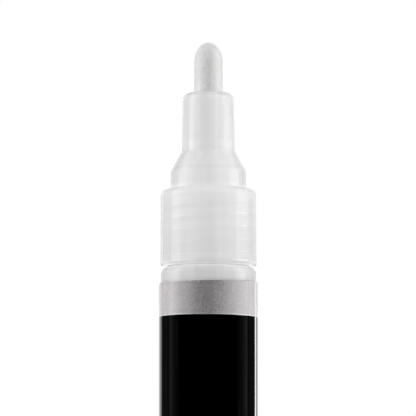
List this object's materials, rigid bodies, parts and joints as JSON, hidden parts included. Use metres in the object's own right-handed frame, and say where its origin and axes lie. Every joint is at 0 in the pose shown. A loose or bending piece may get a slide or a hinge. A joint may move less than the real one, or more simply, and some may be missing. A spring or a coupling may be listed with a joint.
{
  "type": "paint marker",
  "caption": "Valve-action paint marker with a bullet fibre nib, a translucent screw-on front section, a sleeved barrel and a clip cap posted on its tail.",
  "frame": {"origin": "centre of the flat foot of the posted cap, on the marker's axis", "axes": "+Z runs along the marker's axis to the nib's tip, -Y faces the picture's camera, +X is to its right and carries the cap's clip"},
  "size_m": [0.0182, 0.0154, 0.1564],
  "materials": {
    "natural_plastic": "milky translucent polypropylene",
    "cap": "silver-grey moulded plastic",
    "label": "gloss black printed film with a silver band",
    "nib_fibre": "bonded white acrylic fibre",
    "seal_rubber": "soft grey rubber",
    "spring_steel": "drawn stainless wire",
    "ball_steel": "polished steel"
  },
  "bodies": {
    "cap": {"cap_shell": "cap", "cap_liner": "natural_plastic"},
    "barrel": {"barrel": "natural_plastic", "tail_plug": "natural_plastic", "label_sleeve": "label"},
    "ball_left": {"mixing_ball_left": "ball_steel"},
    "ball_right": {"mixing_ball_right": "ball_steel"},
    "seal": {"seal_ring": "seal_rubber"},
    "head": {"front_section": "natural_plastic", "nib_guide": "natural_plastic", "valve_body": "natural_plastic", "valve_cage": "natural_plastic", "valve_spring": "spring_steel"},
    "stem": {"valve_stem": "natural_plastic", "stem_seal": "seal_rubber"},
    "nib": {"nib": "nib_fibre"}
  },
  "joints": [
    {"name": "unpost", "type": "slide", "parent": "cap", "child": "barrel", "axis": [0, 0, 1], "range_m": [0, 0.02]},
    {"name": "ball_left_run", "type": "slide", "parent": "barrel", "child": "ball_left", "axis": [0, 0, 1], "range_m": [0, 0.0683]},
    {"name": "ball_right_run", "type": "slide", "parent": "barrel", "child": "ball_right", "axis": [0, 0, 1], "range_m": [0, 0.0683]},
    {"name": "head_lift", "type": "slide", "parent": "barrel", "child": "seal", "axis": [0, 0, 1], "range_m": [0, 0.006]},
    {"name": "head_turn", "type": "hinge", "parent": "seal", "child": "head", "pos_m": [0, 0, 0.1275], "axis": [0, 0, 1], "range_deg": [0, 1081]},
    {"name": "nib_press", "type": "slide", "parent": "head", "child": "nib", "axis": [0, 0, -1], "range_m": [0, 0.0025], "stiffness_N_per_m": 400, "springref_m": -0.003},
    {"name": "stem_open", "type": "slide", "parent": "head", "child": "stem", "axis": [0, 0, -1], "range_m": [0, 0.0026], "deforming": ["valve_spring"]}
  ],
  "couplings": [
    {"joint": "head_turn", "follows": "head_lift", "rad_per_m": 3141.6},
    {"joint": "stem_open", "follows": "nib_press", "ratio": 1}
  ]
}
